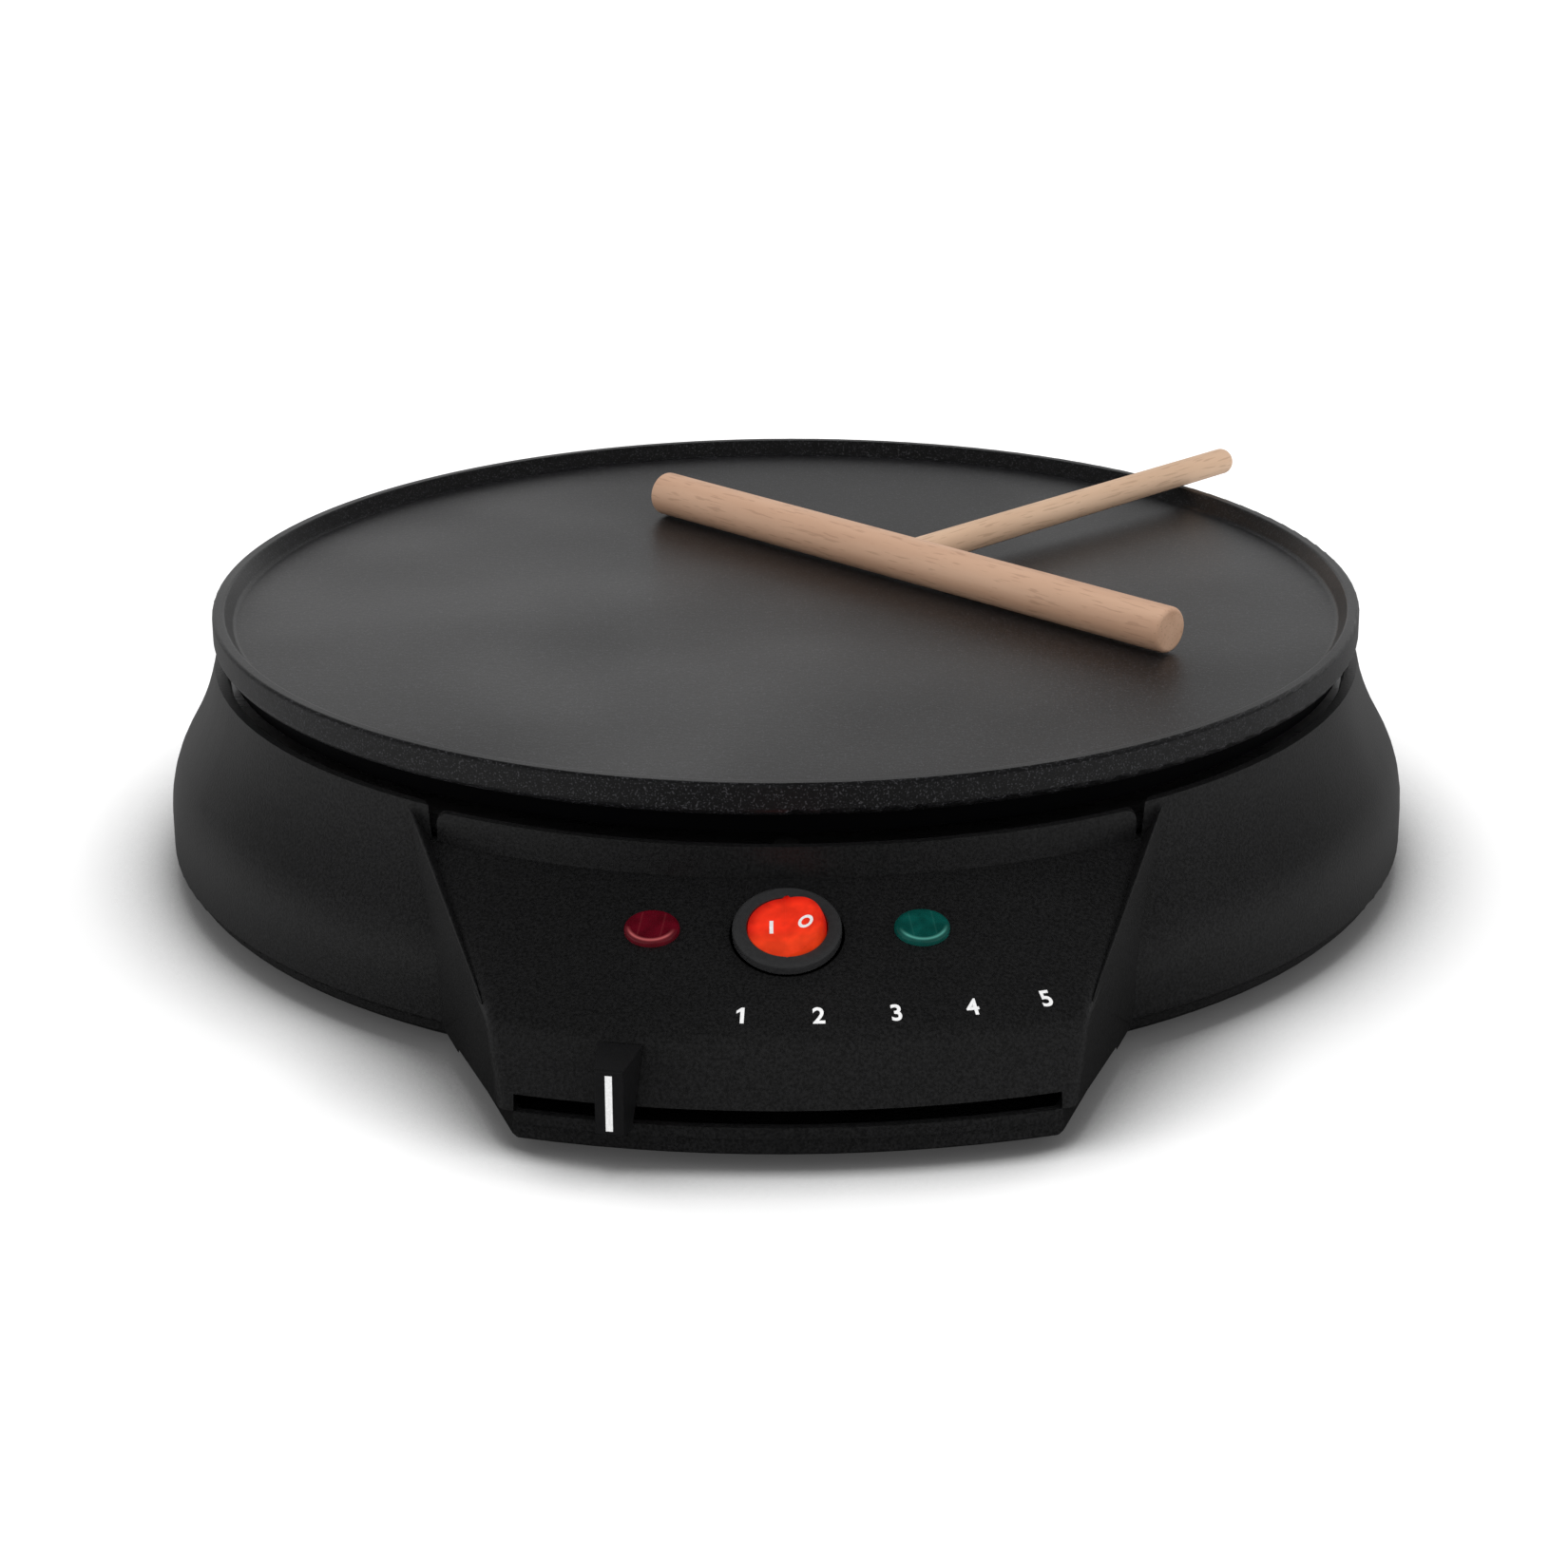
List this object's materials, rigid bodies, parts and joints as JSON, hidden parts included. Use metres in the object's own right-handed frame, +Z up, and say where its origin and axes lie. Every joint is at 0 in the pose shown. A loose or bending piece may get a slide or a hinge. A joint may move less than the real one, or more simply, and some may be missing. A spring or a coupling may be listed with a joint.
{
  "type": "electric crepe maker",
  "caption": "Round electric crepe maker: flat rimmed hotplate on a bowl-shaped case with a control nose, slider, rocker switch, lamps and a loose wooden spreader.",
  "frame": {"origin": "middle of the whole outline on the table plane, under the feet", "axes": "+Z up, -Y towards the control nose, +X to the right of someone facing the nose"},
  "size_m": [0.3258, 0.371, 0.0783],
  "materials": {
    "housing_black": "moulded satin",
    "cover_black": "moulded satin",
    "rubber_black": "matt",
    "cast_grey": "coated satin",
    "heater_steel": "oxidised",
    "ceramic_white": "unglazed ceramic",
    "reflector_steel": "bright sheet",
    "zinc_steel": "zinc plated",
    "thermostat_grey": "moulded",
    "knob_black": "satin",
    "mark_white": "printed",
    "switch_black": "moulded gloss",
    "rocker_red": "translucent, lit",
    "brass": "plain",
    "lens_red": "translucent",
    "lens_green": "translucent",
    "lamp_glass": "clear",
    "gland_black": "matt",
    "block_white": "moulded",
    "beech_wood": "bare, fine sanded"
  },
  "bodies": {
    "base": {"bottom_cover": "cover_black", "rubber_feet": "rubber_black", "case_screws": "zinc_steel", "upper_housing": "housing_black", "cooking_plate": "cast_grey", "heating_element": "heater_steel", "heater_bushings": "ceramic_white", "heat_reflector": "reflector_steel", "reflector_screws": "zinc_steel", "plate_standoffs": "zinc_steel", "plate_screws": "zinc_steel", "thermostat_body": "thermostat_grey", "thermostat_bracket": "reflector_steel", "bracket_rivets": "zinc_steel", "switch_body": "switch_black", "switch_terminals": "brass", "power_lamp_lens": "lens_red", "ready_lamp_lens": "lens_green", "neon_lamps": "lamp_glass", "lamp_retainers": "zinc_steel", "cord_gland": "gland_black", "terminal_block": "block_white", "thermal_fuse": "zinc_steel", "fuse_clip": "reflector_steel"},
    "slider": {"thermostat_shaft": "zinc_steel", "thermostat_lever": "zinc_steel", "slider_knob": "knob_black", "knob_pointer": "mark_white"},
    "rocker": {"switch_rocker": "rocker_red"},
    "spreader": {"spreader_bar": "beech_wood", "spreader_handle": "beech_wood"}
  },
  "joints": [
    {"name": "temperature_slider", "type": "hinge", "parent": "base", "child": "slider", "pos_m": [0, 0.01968, 0.0113], "axis": [0, 0, 1], "range_deg": [0, 27]},
    {"name": "power_rocker", "type": "hinge", "parent": "base", "child": "rocker", "pos_m": [0, -0.14861, 0.04251], "axis": [0, 0.9135, 0.4067], "range_deg": [0, 24]},
    {"name": "spreader_lift", "type": "slide", "parent": "base", "child": "spreader", "axis": [0, 0, 1], "range_m": [0, 0.12]}
  ]
}
